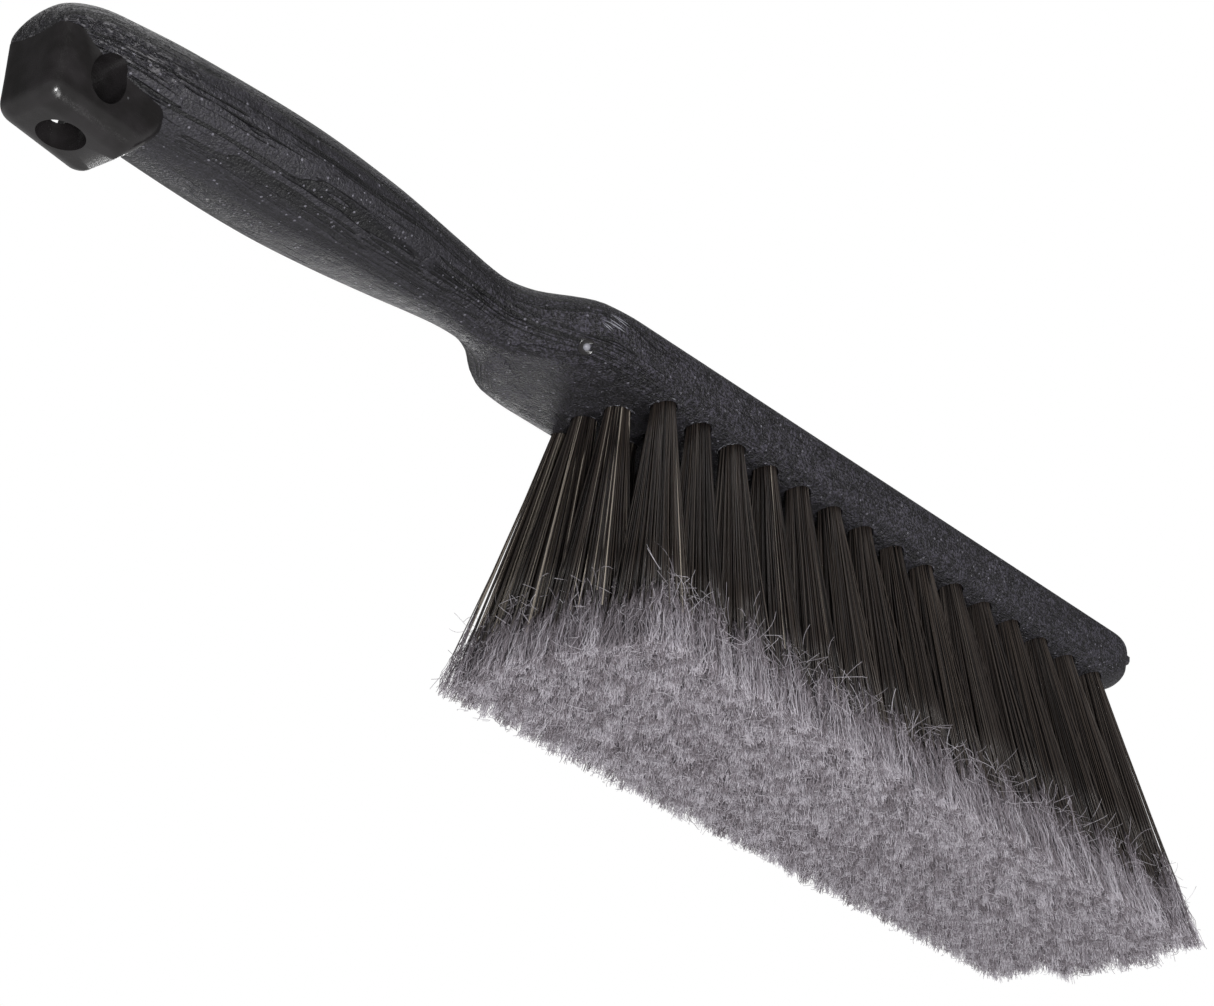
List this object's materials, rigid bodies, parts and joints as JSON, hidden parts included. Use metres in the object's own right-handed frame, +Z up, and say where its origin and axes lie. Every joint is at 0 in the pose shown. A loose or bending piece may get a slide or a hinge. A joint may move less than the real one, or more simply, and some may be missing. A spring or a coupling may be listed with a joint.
{
  "type": "counter brush",
  "caption": "Counter brush: a black moulded plastic block with a shaped handle and four rows of long filament tufts with flagged tips.",
  "frame": {"origin": "middle of the overall length and width, in the plane of the trimmed bristle tips", "axes": "+X from the handle's end towards the block's far end, +Y across the block, +Z up from the tips to the block"},
  "size_m": [0.3742, 0.0624, 0.0823],
  "materials": {
    "body_plastic": "satin, with a fine moulded wood grain along the handle",
    "filament": "satin synthetic filament with split, frayed tips"
  },
  "bodies": {
    "root": {"block_handle": "body_plastic", "tuft_far_01": "filament", "tuft_far_02": "filament", "tuft_far_03": "filament", "tuft_far_04": "filament", "tuft_far_05": "filament", "tuft_far_06": "filament", "tuft_far_07": "filament", "tuft_far_08": "filament", "tuft_far_09": "filament", "tuft_far_10": "filament", "tuft_far_11": "filament", "tuft_far_12": "filament", "tuft_far_13": "filament", "tuft_far_14": "filament", "tuft_far_15": "filament", "tuft_inner_far_01": "filament", "tuft_inner_far_02": "filament", "tuft_inner_far_03": "filament", "tuft_inner_far_04": "filament", "tuft_inner_far_05": "filament", "tuft_inner_far_06": "filament", "tuft_inner_far_07": "filament", "tuft_inner_far_08": "filament", "tuft_inner_far_09": "filament", "tuft_inner_far_10": "filament", "tuft_inner_far_11": "filament", "tuft_inner_far_12": "filament", "tuft_inner_far_13": "filament", "tuft_inner_far_14": "filament", "tuft_inner_near_01": "filament", "tuft_inner_near_02": "filament", "tuft_inner_near_03": "filament", "tuft_inner_near_04": "filament", "tuft_inner_near_05": "filament", "tuft_inner_near_06": "filament", "tuft_inner_near_07": "filament", "tuft_inner_near_08": "filament", "tuft_inner_near_09": "filament", "tuft_inner_near_10": "filament", "tuft_inner_near_11": "filament", "tuft_inner_near_12": "filament", "tuft_inner_near_13": "filament", "tuft_inner_near_14": "filament", "tuft_near_01": "filament", "tuft_near_02": "filament", "tuft_near_03": "filament", "tuft_near_04": "filament", "tuft_near_05": "filament", "tuft_near_06": "filament", "tuft_near_07": "filament", "tuft_near_08": "filament", "tuft_near_09": "filament", "tuft_near_10": "filament", "tuft_near_11": "filament", "tuft_near_12": "filament", "tuft_near_13": "filament", "tuft_near_14": "filament", "tuft_near_15": "filament"}
  },
  "joints": []
}
